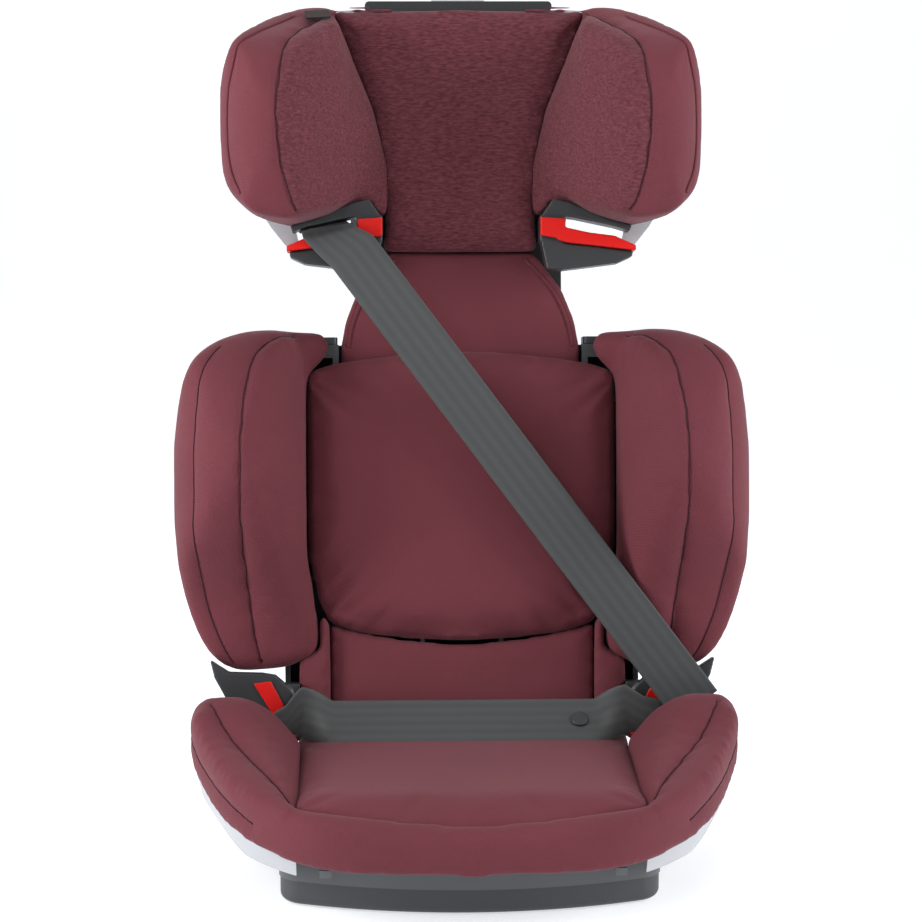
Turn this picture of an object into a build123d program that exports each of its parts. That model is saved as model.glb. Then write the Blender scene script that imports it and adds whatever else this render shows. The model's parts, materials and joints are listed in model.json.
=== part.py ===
from build123d import *
import os
from math import cos, radians, sin

# High-back booster seat for a child, held by the vehicle's own three-point belt and by two
# anchor connectors at the rear of its base.
#
# World frame: millimetres, +Z up, the seat faces -Y, "left" is the seated child's left (+X).
# The origin is the middle of the pad under the base, at floor level.
# Backrest and headrest parts are drawn upright in a local frame and then tilted: the local
# origin is on the recline hinge, local y is depth (front negative), local z runs up the backrest.

# ---------------------------------------------------------------- driving dimensions
LEAN = 10.0                 # backrest's lean at rest, degrees
PIVOT_Y = 160.0             # recline hinge
PIVOT_Z = 80.0

TRAY_HALF_WIDTH = 162.0     # base tray
TRAY_FRONT = -165.0
TRAY_REAR = 175.0
FLOOR_GAP = 1.5             # height of the tray's underside
BAND_LOW = 23.0             # trim band round the tray
BAND_DEPTH = 3.0
BAND_TOP = 40.0
DECK_TOP = 53.5             # top of the base shell
WALL = 4.0                  # plastic wall

SEAT_HALF_WIDTH = 243.0     # padded seat, outer outline
SEAT_FRONT = -222.0
ARM_REAR = 40.0             # rear end of the padded arms
CENTRE_HALF = 144.0         # sewn centre panel
CENTRE_REAR = 78.0
FOAM_TOP = 72.0

SHELL_FRONT = -76.0         # back shell's front plane (local y)
CHANNEL_FLOOR = -38.0
SHELL_TOP = 352.0
WING_GAP_X = 143.5          # inner edge of a side wing
PAD_HALF_WIDTH = 141.0      # lumbar pad

COLUMN_FRONT = -58.0        # headrest column
COLUMN_REAR = -46.0
COLUMN_HALF = 94.0

ARM_X = 140.0               # anchor connectors, 280 mm apart
ARM_HALF = 10.0
ARM_Z = 28.0
BAR_Y = 201.0               # anchor bar's axis when the jaws are closed on it
JAW_TIP = 215.0
BAR_SEAT_R = 3.1            # jaw seat for a 6 mm bar
HOOK_PIVOT = (188.0, 38.0)

WEB_WIDTH = 47.0            # belt webbing
WEB_THICK = 1.4
FIT = 0.4                   # gap between pieces that only touch
RUN = 0.05                  # radial running fit

written = []


# ---------------------------------------------------------------- helpers
def save(name, shape):
    written.append(name)
    export_step(shape, f"parts/{name}.step")


def mirrored(shape):
    return mirror(shape, about=Plane.YZ)


def save_pair(name, shape):
    save(f"{name}_left", shape)
    save(f"{name}_right", mirrored(shape))


def leaned(shape):
    return Pos(0, PIVOT_Y, PIVOT_Z) * Rot(-LEAN, 0, 0) * shape


def world_point(x, y, z):
    """World place of a point given in the backrest's local frame."""
    lean = radians(LEAN)
    return (x, PIVOT_Y + y * cos(lean) + z * sin(lean), PIVOT_Z - y * sin(lean) + z * cos(lean))


def block(x0, x1, y0, y1, z0, z1):
    return Pos((x0 + x1) / 2, (y0 + y1) / 2, (z0 + z1) / 2) * Box(x1 - x0, y1 - y0, z1 - z0)


def pair(shape):
    return shape + mirrored(shape)


def polygon(points):
    return make_face(Polyline(*points, close=True))


def face_of(*curves):
    """Face bounded by curves that join end to end."""
    edges = []
    for curve in curves:
        edges.extend(curve.edges())
    return make_face(edges)


def two_sided(points):
    """Face between a smooth line up the left side, given upward, and its mirror."""
    left = Spline(*points)
    low = Line((-points[0][0], points[0][1]), points[0])
    high = Line(points[-1], (-points[-1][0], points[-1][1]))
    return face_of(low, left, high, mirror(left, about=Plane.YZ))


def slab_xy(face, z0, z1):
    return extrude(Plane.XY.offset(z0) * face, amount=z1 - z0, dir=(0, 0, 1))


def slab_xz(face, y0, y1):
    return extrude(Plane.XZ.offset(-y1) * face, amount=y1 - y0, dir=(0, -1, 0))


def slab_yz(face, x0, x1):
    return extrude(Plane.YZ.offset(x0) * face, amount=x1 - x0, dir=(1, 0, 0))


def pin_x(y, z, radius, x0, x1):
    return Pos(x0, y, z) * Rot(0, 90, 0) * Cylinder(radius, x1 - x0, align=(Align.CENTER, Align.CENTER, Align.MIN))


def post_z(x, y, radius, z0, z1):
    return Pos(x, y, z0) * Cylinder(radius, z1 - z0, align=(Align.CENTER, Align.CENTER, Align.MIN))


def coil(radius, wire, length, turns):
    """Open helical spring along +Z, standing on z = 0."""
    path = Helix(pitch=length / turns, height=length, radius=radius)
    section = Plane(path @ 0, z_dir=path % 0) * Circle(wire / 2)
    return sweep(section, path=path, is_frenet=True)


def ribbon(stations):
    """Webbing through stations of (centre, width direction, face normal)."""
    sections = []
    for centre, across, normal in stations:
        plane = Plane(origin=centre, x_dir=Vector(*across), z_dir=Vector(*across).cross(Vector(*normal)))
        sections.append(plane * Rectangle(WEB_WIDTH, WEB_THICK))
    return loft(sections, ruled=True)


# ---------------------------------------------------------------- base
def seat_plan(width, front, rear):
    """Horseshoe outline of the seat from above: a spline up each side, straight at the rear."""
    depth = rear - front
    half = [
        (0, front),
        (0.55 * width, front + 0.075 * depth),
        (0.80 * width, front + 0.325 * depth),
        (0.93 * width, front + 0.63 * depth),
        (width, front + 0.90 * depth),
        (0.985 * width, rear),
    ]
    right = Spline(*half, tangents=((1, 0), (-0.2, 1)))
    left = mirror(right, about=Plane.YZ)
    back = Line((0.985 * width, rear), (-0.985 * width, rear))
    return face_of(right, back, left)


def tray_plan(inset):
    """Outline of the tray from above: rounded rectangle with a bowed front."""
    bow_radius = 404.0
    half = TRAY_HALF_WIDTH - inset
    front = TRAY_FRONT + inset
    rear = TRAY_REAR - inset
    rectangle = Pos(0, (front + rear) / 2) * Rectangle(2 * half, rear - front)
    bowed = rectangle & (Pos(0, front + bow_radius) * Circle(bow_radius))
    return fillet(bowed.vertices(), 24.0 - inset / 2)


def flared(low, high, z0, z1):
    """Solid between two outlines seen from above, one at z0 and one at z1."""
    return loft([(Pos(0, 0, z0) * low).face(), (Pos(0, 0, z1) * high).face()])


def seat_bowl(inset):
    """Flaring sides under the padded seat."""
    low = seat_plan(228 - inset, -188 + inset, 38)
    high = seat_plan(240 - inset, -214 + inset, 38)
    return flared(low, high, 30, 80)


def hinge_ear(x0, x1, radius):
    ear = slab_yz(polygon([(145, DECK_TOP - 1), (175, DECK_TOP - 1), (169, PIVOT_Z), (151.5, PIVOT_Z)]), x0, x1)
    ear += pin_x(PIVOT_Y, PIVOT_Z, 9.5, x0, x1)
    return ear - pin_x(PIVOT_Y, PIVOT_Z, radius, x0 - 1, x1 + 1)


def make_base_shell():
    lower = slab_xy(tray_plan(1.0), FLOOR_GAP, BAND_LOW)
    lower = fillet(lower.faces().sort_by(Axis.Z)[0].edges(), 7)
    upper = slab_xy(tray_plan(BAND_DEPTH), BAND_LOW, DECK_TOP)
    shell = lower + upper + flared(seat_plan(205, -172, 36), seat_plan(222, -200, 36), BAND_TOP, DECK_TOP)
    shell -= slab_xy(tray_plan(BAND_DEPTH + WALL), FLOOR_GAP + WALL, DECK_TOP - WALL)
    shell -= slab_xy(seat_plan(205 - WALL, -172 + WALL, 36 - WALL), BAND_TOP + WALL, DECK_TOP - WALL)
    for x in (-60, 0, 60):
        shell += block(x - 1.5, x + 1.5, -100, 50, FLOOR_GAP + 2, DECK_TOP - 2)
    for side in (-1, 1):
        x = side * ARM_X
        shell -= block(x - 13, x + 13, TRAY_REAR - 24, TRAY_REAR + 2, 11, 48)
    shell -= block(-166, 166, 52, 70, 13, 45)
    # finger recess under the front edge, with its own roof and rear wall
    shell += block(-58, 58, -150, -92, FLOOR_GAP + 1, 24)
    shell -= block(-54, 54, -148, -96, -1, 20)
    for x in (-30, 30):
        shell -= Pos(x, -98, 11) * Rot(90, 0, 0) * Cylinder(3.1, 20)
    for x0, x1 in ((128, 138), (60, 70)):
        shell += pair(hinge_ear(x0, x1, 4.0))
    for x, y, half_x, half_y in FEET:
        shell -= block(x - half_x, x + half_x, y - half_y, y + half_y, -1, FLOOR_GAP + 1.5)
    for x, y in SCREW_PLACES:
        shell += post_z(x, y, 6, FLOOR_GAP + 2, DECK_TOP - 2)
        shell -= post_z(x, y, 1.9, -1, 30)
        shell -= post_z(x, y, 4.0, -1, 6)
    return shell


FEET = [(0, 0, 30, 22), (110, -96, 16, 12), (-110, -96, 16, 12), (120, 140, 16, 12), (-120, 140, 16, 12)]
SCREW_PLACES = [(95, -60), (-95, -60), (95, 48), (-95, 48)]


def make_base_feet():
    feet = [block(x - hx + 0.2, x + hx - 0.2, y - hy + 0.2, y + hy - 0.2, 0, FLOOR_GAP + 1.5) for x, y, hx, hy in FEET]
    return Compound(children=[Part() + foot for foot in feet])


def make_screws(places, head_z, shank_top, head_radius=3.7, shank_radius=1.9):
    screws = []
    for x, y in places:
        head = post_z(x, y, head_radius, head_z, head_z + 2.4)
        head -= post_z(x, y, 1.6, head_z - 1, head_z + 1.4)
        screws.append(Part() + head + post_z(x, y, shank_radius, head_z + 2, shank_top))
    return Compound(children=screws)


def make_base_band():
    band = slab_xy(tray_plan(0), BAND_LOW + 0.3, BAND_TOP - FIT) - slab_xy(tray_plan(BAND_DEPTH), 0, 60)
    return band & block(-200, 200, -200, 60, 0, 60)


def make_side_trim():
    lower_edge = [(-230, 35), (-105, 36), (-60, 46), (-30, 53), (0, 58), (38, 61), (38, 95), (-230, 95)]
    trim = (seat_bowl(0) - seat_bowl(3)) & slab_yz(polygon(lower_edge), 146, 262)
    return trim - Pos(0, 0, -0.6) * slab_xz(seat_front_profile(), -260, 60)


def seat_side_profile():
    """Side view of the padded seat: front roll, rising arms, rounded rear end."""
    frame = Polyline((ARM_REAR, 104), (ARM_REAR, 50), (-223, 50), (-223, 74))
    top = Spline((-223, 74), (-216, 89), (-203, 97), (-172, 102), (-100, 111), (-25, 129), (4, 142), (20, 141),
                 (33, 130), (ARM_REAR, 104))
    return face_of(frame, top)


def seat_front_profile():
    """Front view of the padded seat: curved underside and two arms."""
    half = [(0, 53), (120, 55), (190, 63), (230, 77), (245, 98), (243, 122), (229, 140), (208, 143), (188, 136),
            (168, 119), (150, 98)]
    right = Spline(*half)
    left = mirror(right, about=Plane.YZ)
    top = Line((150, 98), (-150, 98))
    return face_of(right, top, left)


def centre_plan(grow):
    half = CENTRE_HALF + grow
    arc = ThreePointArc((-half, -172 - grow), (0, -203 - grow), (half, -172 - grow))
    rear = CENTRE_REAR + grow
    sides = Polyline((half, -172 - grow), (half + 5, rear), (-half - 5, rear), (-half, -172 - grow))
    return face_of(arc, sides)


def make_seat_foam():
    foam = slab_xy(seat_plan(218, -200, ARM_REAR - 4), DECK_TOP + FIT, FOAM_TOP)
    foam += block(-146, 146, 0, CENTRE_REAR - 3, DECK_TOP + FIT, FOAM_TOP)
    return foam


def make_seat_bolster():
    bolster = slab_xy(seat_plan(SEAT_HALF_WIDTH, SEAT_FRONT, ARM_REAR), 45, 150)
    bolster &= slab_xz(seat_front_profile(), -230, 50)
    bolster &= slab_yz(seat_side_profile(), -260, 260)
    bolster -= slab_xy(centre_plan(FIT), FOAM_TOP, 160)
    bolster -= slab_xy(seat_plan(219, -201, ARM_REAR - 3.5), 40, FOAM_TOP + FIT)
    bolster -= block(-147, 147, 0, CENTRE_REAR, 40, FOAM_TOP + FIT)
    return bolster


def make_seat_cushion():
    top = Spline((-204, 92), (-192, 97), (-150, 99.5), (-60, 96), (20, 94.5), (CENTRE_REAR, 93))
    low = FOAM_TOP + FIT
    frame = Polyline((CENTRE_REAR, 93), (CENTRE_REAR, low), (-204, low), (-204, 92))
    return slab_xy(centre_plan(0), 60, 120) & slab_yz(face_of(top, frame), -160, 160)


def make_lap_guide():
    """Red hook behind each arm that the lap belt runs behind."""
    post = block(151, 158, 41.5, 46.5, DECK_TOP + FIT, 99)
    post += block(150, 160, 41.5, 60, DECK_TOP + FIT, DECK_TOP + 5)
    return post


def make_cushion_clips():
    """Two hooks that hold the cover's front edge to the base."""
    clip = block(116, 126, -203, -196, 47.5, 54.0) - block(115, 127, -200.5, -195, 50.5, 55)
    return Compound(children=[Part() + clip, Part() + mirrored(clip)])


def make_lap_belt():
    flat = (1, 0, 0)
    tilt_up = (0, 36 / 46.9, 30 / 46.9)
    tilt_out = (0, -30 / 46.9, 36 / 46.9)
    upright = (0, 0, 1)
    forward = (0, -1, 0)
    stations = []
    for x, y, z, across, normal in (
        (-212, 50.5, 84, upright, forward),
        (-178, 50.5, 91, upright, forward),
        (-160, 50.5, 102, upright, forward),
        (-152, 50.5, 113, upright, forward),
        (-146, 50.5, 119, upright, forward),
        (-118, 37, 113, tilt_up, tilt_out),
        (0, 36.5, 113, tilt_up, tilt_out),
        (118, 37, 113, tilt_up, tilt_out),
        (146, 50.5, 119, upright, forward),
        (152, 50.5, 115, upright, forward),
        (163, 50.5, 108, upright, forward),
        (181, 50.5, 104, upright, forward),
    ):
        stations.append(((x, y, z), across, normal))
    return ribbon(stations)


def make_belt_button():
    """Stop button on the lap belt: two riveted discs, one on each face."""
    place = Pos(104, 37, 113) * Rot(39.8, 0, 0)
    disc = Cylinder(7.5, 2.6)
    pad = fillet(disc.edges(), 1.2)
    front = place * Pos(0, 0, WEB_THICK / 2 + 1.4) * pad
    rear = place * Pos(0, 0, -WEB_THICK / 2 - 1.4) * pad
    return Compound(children=[Part() + front, Part() + rear])


def make_belt_tongue():
    """Latch tongue beside the left arm: grip with a webbing slot and a steel blade below it."""
    grip = block(190, 236, 47.2, 54, 86, 112)
    grip = fillet(grip.edges().filter_by(Axis.Y), 6)
    grip -= block(196, 230, 46, 55, 101, 104.5)
    blade = block(203, 223, 49.4, 51.8, 60, 86.5)
    blade -= pin_slot(213, 70)
    return grip + blade


def pin_slot(x, z):
    return block(x - 5, x + 5, 48, 53, z - 4, z + 4)


# ---------------------------------------------------------------- anchor connectors
def make_connector():
    """Steel connector arm: bar, two jaw plates with a seat for the anchor bar, button bush."""
    left = ARM_X - ARM_HALF
    right = ARM_X + ARM_HALF
    arm = block(left, right, 66, JAW_TIP, ARM_Z - 14, ARM_Z + 16)
    arm = fillet(arm.edges().filter_by(Axis.X), 4)
    arm -= block(left - 1, right + 1, BAR_Y, JAW_TIP + 1, ARM_Z - BAR_SEAT_R, ARM_Z + BAR_SEAT_R)
    arm -= pin_x(BAR_Y, ARM_Z, BAR_SEAT_R, left - 1, right + 1)
    mouth = polygon([(JAW_TIP - 7, ARM_Z), (JAW_TIP + 2, ARM_Z - 9), (JAW_TIP + 2, ARM_Z + 9)])
    arm -= slab_yz(mouth, left - 1, right + 1)
    arm -= block(ARM_X - 6, ARM_X + 6, 172, JAW_TIP + 1, ARM_Z - 11, ARM_Z + 18)
    arm -= block(ARM_X - 6, ARM_X + 6, 80, 160, ARM_Z - 11, ARM_Z + 13)
    arm -= pin_x(182, 26, 2.6, ARM_X + 5, ARM_X + 11)
    arm -= pin_x(HOOK_PIVOT[0], HOOK_PIVOT[1], 3.0, left - 1, right + 1)
    return arm


def make_hook():
    """Latch hook that closes the jaw behind the bar."""
    y, z = HOOK_PIVOT
    x0 = ARM_X - 5.7
    x1 = ARM_X + 1.7
    hook = pin_x(y, z, 5.6, x0, x1)
    outline = [(y - 2, z - 5), (y + 16, z - 5.5), (y + 16.6, z - 15), (y + 21, z - 13.5), (y + 23, z - 4),
               (y + 19, z + 2), (y, z + 5.4)]
    hook += slab_yz(polygon(outline), x0, x1)
    return hook - pin_x(y, z, 3.0 + RUN, x0 - 1, x1 + 1)


def make_hook_pins():
    y, z = HOOK_PIVOT
    pin = pin_x(y, z, 3.0, ARM_X - ARM_HALF, ARM_X + ARM_HALF)
    return Compound(children=[Part() + pin, Part() + mirrored(pin)])


def make_button():
    """Release button on the outer face of a connector arm, with its stem."""
    face = ARM_X + ARM_HALF
    cap = pin_x(182, 26, 7.0, face + 4, face + 7.5)
    cap = fillet(cap.edges(), 1.2)
    return cap + pin_x(182, 26, 2.5, ARM_X + 5.5, face + 5)


def make_button_spring():
    return Pos(ARM_X + ARM_HALF + 0.4, 182, 26) * Rot(0, 90, 0) * coil(4.4, 0.5, 3.0, 2)


def make_crossbar():
    """Steel bar that joins the two connector arms, with two tabs for the release handle's cable."""
    bar = block(-ARM_X + ARM_HALF, ARM_X - ARM_HALF, 66, 78, ARM_Z - 6, ARM_Z + 6)
    bar = fillet(bar.edges().filter_by(Axis.X), 2)
    tab = block(26, 34, 60, 67, ARM_Z - 3, ARM_Z + 3)
    return bar + pair(tab)


def make_front_handle():
    """Pull bar in the recess under the front edge; pulling it frees the connectors."""
    grip = block(-46, 46, -132, -114, 4, 17)
    grip = fillet(grip.edges().filter_by(Axis.X), 4)
    for x in (-30, 30):
        grip += Pos(x, -96.5, 11) * Rot(90, 0, 0) * Cylinder(3.0, 41)
        grip += Pos(x, -77, 11) * Rot(90, 0, 0) * Cylinder(5.5, 2)
    return grip


def make_handle_springs():
    springs = []
    for x in (-30, 30):
        springs.append(Part() + Pos(x, -79, 11) * Rot(90, 0, 0) * coil(4.2, 0.8, 12, 4))
    return Compound(children=springs)


# ---------------------------------------------------------------- backrest
SHELL_SIDE = [(136, -24), (155, 0), (162, 60), (166, 140), (168, 240), (163, 315), (152, 342), (134, SHELL_TOP)]


def make_back_shell():
    rear = [(0, -12), (90, -14), (138, -26), (162, -44), (173, -62)]
    right = Spline(*rear, tangents=((1, 0), (0.3, -1)))
    left = mirror(right, about=Plane.YZ)
    front = Polyline((173, -62), (173, SHELL_FRONT), (-173, SHELL_FRONT), (-173, -62))
    plan = face_of(right, front, left)
    shell = slab_xy(plan, -30, 360) & slab_xz(two_sided(SHELL_SIDE), -80, 0)
    # stepped channel: neck panel in front, column rails behind it
    shell -= block(-111.5, 111.5, SHELL_FRONT - 1, COLUMN_FRONT - 0.5, 130, SHELL_TOP + 1)
    shell -= block(-COLUMN_HALF - 0.6, COLUMN_HALF + 0.6, SHELL_FRONT - 1, CHANNEL_FLOOR, 92, SHELL_TOP + 1)
    # hollow pillars and lower chamber, open to the front under the pads
    for z0, z1 in ((4, 66), (70, 136), (140, 300), (304, 340)):
        shell -= pair(block(117, 157, SHELL_FRONT - 1, -46, z0, z1))
    for x0, x1 in ((-106, -38), (-34, 34), (38, 106)):
        shell -= block(x0, x1, SHELL_FRONT - 1, -19, -14, 88)
    # slots for the wings' tongues
    shell -= pair(block(150, 172, -60.5, -51.5, 149.5, 290.5))
    # recessed rear panel with louvres
    recess = slab_xz(fillet(Rectangle(128, 216).vertices(), 26), -28, 0)
    shell -= Pos(0, 0, 214) * recess
    for step in range(6):
        z = 132 + 33 * step
        shell += block(-60, 60, -30, -17, z - 2, z + 2)
    # hinge lugs
    lug = slab_yz(polygon([(-22, -20), (-22, 22), (0, 12), (8, 0), (0, -12)]), 74, 124)
    lug += pin_x(0, 0, 12, 74, 124)
    shell += pair(lug)
    shell -= pin_x(0, 0, 4.0 + RUN, -150, 150)
    for x, z in BACK_SCREWS:
        shell -= Pos(x, -21, z) * Rot(90, 0, 0) * Cylinder(1.9, 24)
        shell -= Pos(x, -12.5, z) * Rot(90, 0, 0) * Cylinder(4.0, 16)
    return leaned(shell)


BACK_SCREWS = [(103, 110), (-103, 110), (103, 330), (-103, 330)]


def make_back_screws():
    screws = []
    for x, z in BACK_SCREWS:
        head = Cylinder(3.7, 2.4) - Pos(0, 0, 1.2) * Cylinder(1.5, 1.4)
        shank = Pos(0, 0, -6) * Cylinder(1.85, 10)
        screws.append(Part() + leaned(Pos(x, -19.2, z) * Rot(-90, 0, 0) * (head + shank)))
    return Compound(children=screws)


def make_lock_rack():
    """Toothed strip on the channel floor that the headrest's lock bar drops into."""
    strip = block(-12, 12, CHANNEL_FLOOR - 3.5, CHANNEL_FLOOR, 112, 344)
    for step in range(19):
        z = 118 + 12 * step
        tooth = polygon([(CHANNEL_FLOOR - 3.6, z - 3.5), (CHANNEL_FLOOR - 6.5, z - 1.5), (CHANNEL_FLOOR - 6.5, z + 1.5),
                         (CHANNEL_FLOOR - 3.6, z + 3.5), (CHANNEL_FLOOR - 3.0, z)])
        strip += slab_yz(tooth, -12, 12)
    return leaned(strip)


def make_lumbar_pad():
    half = [(0, 80), (60, 84), (121, 98)]
    low = Spline(*half, tangents=((1, 0), (0.9, 0.5)))
    side = Polyline((121, 98), (131, 120), (PAD_HALF_WIDTH, 160), (PAD_HALF_WIDTH, 324))
    top = Spline((PAD_HALF_WIDTH, 324), (120, 333), (60, 342), (0, 345), tangents=((-0.7, 0.7), (-1, 0)))
    right = [low, side, top]
    left = [mirror(curve, about=Plane.YZ) for curve in right]
    return leaned(slab_xz(face_of(*right, *left), -95, SHELL_FRONT - FIT))


def make_lower_pad():
    arc = ThreePointArc((-120, 95.5), (0, 77.5), (120, 95.5))
    frame = Polyline((120, 95.5), (121.4, 8), (-121.4, 8), (-120, 95.5))
    return leaned(slab_xz(face_of(arc, frame), -84, SHELL_FRONT - FIT))


def make_hip_pad():
    """Padding beside the hip, between the lower pad and the hip bracket."""
    outline = polygon([(122, 8), (147, 8), (147, 64.5), (128.4, 73.9), (129.5, 108), (122.4, 97.2)])
    return leaned(slab_xz(outline, -96, SHELL_FRONT - FIT))


def make_hip_bracket():
    """Horn beside the hip that keeps the lap belt low, with its root on the back shell."""
    horn = [(148, 8), (155, 38), (163, 46), (170, 52), (182, 54), (212, 55), (229, 66), (225, 50), (213, 28), (199, 13),
            (182, 5), (165, 2)]
    link = polygon([(148, SHELL_FRONT - FIT), (148, -104), (176, -104), (170, -93), (159, SHELL_FRONT - FIT)])
    return leaned(slab_xz(polygon(horn), -106, -92) + slab_xy(link, 10, 44))


def make_hip_insert():
    return leaned(slab_xz(polygon([(174, 47), (190, 45), (169, 11), (157, 16)]), -107.8, -106.0))


def make_shoulder_cap():
    cap = block(112.8, 138, -74, -46, SHELL_TOP + 0.4, SHELL_TOP + 7)
    return leaned(fillet(cap.edges().filter_by(Axis.Z), 4))


def make_shoulder_belt():
    """Diagonal webbing: through the right headrest guide, across the back, down to the tongue."""
    top = Vector(*world_point(-98, -136.5, 433))
    bottom = Vector(210, 42.5, 124)
    run = (bottom - top).normalized()
    normal = (Vector(0, -1, 0) - run * Vector(0, -1, 0).dot(run)).normalized()
    across = run.cross(normal)
    lean = radians(LEAN)
    over = Vector(-0.985, -0.17 * sin(lean), -0.17 * cos(lean))
    out = Vector(0, -1, 0)
    stations = [
        (world_point(-158, -4, 506), over, Vector(0.2, -0.6, 0.8)),
        (world_point(-140, -40, 476), over, Vector(0, -0.5, 0.85)),
        (world_point(-123, -92, 457), over, Vector(0, -0.2, 1)),
        (world_point(-120.5, -124, 455.3), over, Vector(0, -0.4, 1)),
        (world_point(-119, -134, 450), Vector(-0.97, 0, -0.24), out),
        (tuple(top), across * -1 if across.X > 0 else across, normal),
        (tuple(bottom), across * -1 if across.X > 0 else across, normal),
    ]
    return ribbon([(centre, tuple(a), tuple(n)) for centre, a, n in stations])


# ---------------------------------------------------------------- side wings
def wing_side_profile(step):
    """Side view of a wing: the front ridge, set back by step."""
    ridge = [(-92, 50), (-99, 62), (-114, 112), (-160, 177), (-193, 235), (-186, 299), (-152, 345), (-120, 362),
             (-90, 364)]
    front = Spline(*[(y + step, z) for y, z in ridge])
    back = Polyline((-90 + step, 364), (-30, 364), (-30, 50), (-92 + step, 50))
    return face_of(front, back)


def wing_front_outline(inset):
    inner = [(160, 60 + inset), (131 + inset, 75), (136 + inset, 115), (WING_GAP_X + inset, 160), (WING_GAP_X + inset, 326),
             (127 + inset, 338), (121 + inset, 350), (124 + inset, 360 - inset)]
    outer = [(124 + inset, 360 - inset), (179, 361 - inset), (212, 354 - inset), (237 - inset, 336), (251 - inset, 300),
             (258 - inset, 250), (257 - inset, 190), (248 - inset, 125), (235 - inset, 85), (213, 60.5 + inset),
             (182, 58.5 + inset), (160, 60 + inset)]
    return face_of(Polyline(*inner), Spline(*outer))


def make_wing_pad():
    plan = polygon([(115, -77), (115, -96), (146, -98), (172, -165), (186, -190), (198, -197), (225, -181), (246, -151),
                    (258, -115), (256, -95), (249, -84), (237, -90), (202, -72), (174, -66), (174, -77)])
    pad = slab_xy(plan, 40, 370) & slab_xz(wing_front_outline(0), -200, -50)
    pad &= slab_yz(wing_side_profile(0), 100, 270)
    return leaned(pad)


def make_wing_shell():
    plan = polygon([(174, -65.6), (202, -71.6), (237, -89.4), (248, -84), (243, -76), (232, -66), (206, -54), (174, -49)])
    shell = slab_xy(plan, 40, 370) & slab_xz(wing_front_outline(5), -200, -40)
    shell += block(122, 176, -60, -52, 150, 290)
    shell -= block(128, 150, -62, -50, 165, 215)
    shell -= block(128, 150, -62, -50, 225, 275)
    return leaned(shell)


# ---------------------------------------------------------------- headrest
def head_outline(inset):
    """Front view of the headrest's outer edge, from the crown down to the side."""
    return [(0, 659 - inset), (85, 659 - inset), (135, 655 - inset), (160, 647 - inset), (186, 630 - inset),
            (207 - inset, 602), (214 - inset, 568), (213 - inset, 530), (209 - inset, 497), (198 - inset, 478)]


def make_head_shell():
    rear = [(0, -22), (70, -25), (120, -38), (160, -62), (190, -98), (205, -140)]
    inner = [(0, -27), (70, -30), (118, -43), (156, -66), (185, -101), (199, -140)]
    right = [Spline(*rear), Line(rear[-1], inner[-1]), Spline(*inner)]
    plan = face_of(*right, *[mirror(curve, about=Plane.YZ) for curve in right])
    edge = head_outline(5)
    side = Spline(*edge[1:])
    crest = Line(edge[0], edge[1])
    low = Polyline(edge[-1], (170, 478), (150, 492), (104, 494), (96, 440), (0, 440))
    front = face_of(*[curve for edge in (crest, side, low) for curve in (edge, mirror(edge, about=Plane.YZ))])
    shell = slab_xy(plan, 430, 660) & slab_xz(front, -150, -10)
    # crown that closes the top behind the pads
    crown = slab_xy(polygon([(-118, -42), (118, -42), (104, -68), (-104, -68)]), 640.5, 646)
    crown += slab_xy(polygon([(-118, -44), (118, -44), (70, -24), (-70, -24)]), 640.5, 646)
    crown -= block(-30, 30, -52, -36, 636, 660)
    # lugs down to the outer end of the belt guides
    lug = slab_xz(polygon([(146, 441), (153, 436), (160, 443), (172, 458), (186, 480), (186, 496), (160, 496)]), -95.4, -89)
    lug += slab_xy(polygon([(160, -95.4), (188, -95.4), (192, -92), (182, -86), (160, -89)]), 478, 496)
    return leaned(shell + crown + pair(lug))


def head_centre_outline(grow):
    half = [(0, 657), (116 + grow, 655), (100 + grow, 610), (80 + grow, 565), (68 + grow, 515), (67 + grow, 480),
            (69 + grow, 438), (0, 438)]
    return polygon(half[:-1] + [(0, 438)] + [(-x, z) for x, z in reversed(half[1:-1])])


def make_head_centre_pad():
    return leaned(slab_xz(head_centre_outline(0), -92, -74))


def make_head_foam():
    half = [(0, -73.6), (117, -73.6), (150, -94.6), (179, -124.6), (188.6, -149.4), (196.5, -143), (181, -105),
            (150, -72), (112, -60), (0, -60)]
    foam = slab_xy(polygon(half + [(-x, y) for x, y in reversed(half[1:-1])]), 497, 638.6)
    edge = [(x, z) for x, z in head_outline(12) if z > 500]
    foam &= slab_xz(polygon(edge + [(190, 490), (-190, 490)] + [(-x, z) for x, z in reversed(edge[1:])]), -160, -50)
    return leaned(foam)


def make_head_pad():
    """Side cushion of the headrest."""
    plan = polygon([(60, -74), (60, -92), (72, -94), (96, -120), (124, -168), (146, -202), (164, -214), (184, -206), (204, -176),
                    (214, -142), (212, -128), (206, -141), (200, -143), (187.6, -151), (178, -125.6), (150, -95.6),
                    (118, -74.4), (70, -74)])
    edge = head_outline(0)
    side = Spline(*edge[2:])
    frame = Polyline(edge[-1], (184, 465), (154, 459), (112, 474), (84, 484), (73, 470), (60, 470), (60, 657), edge[2])
    front = face_of(side, frame)
    ridge = Spline((-96, 662), (-118, 648), (-146, 634), (-190, 609), (-214, 560), (-214, 524), (-206, 490), (-190, 462),
                   (-170, 440))
    back = Polyline((-170, 440), (-60, 440), (-60, 662), (-96, 662))
    pad = slab_xy(plan, 430, 665) & slab_xz(front, -220, -60)
    pad &= slab_yz(face_of(ridge, back), 50, 220)
    pad -= slab_xz(head_centre_outline(FIT), -230, -40)
    return leaned(pad)


def make_neck_panel():
    half = [(0, 437), (66, 437), (80, 419), (93, 402), (104, 375), (109, 350), (109, 190), (0, 190)]
    return leaned(slab_xz(polygon(half[:-1] + [(0, 190)] + [(-x, z) for x, z in reversed(half[1:-1])]), -75.6, -60))


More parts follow.
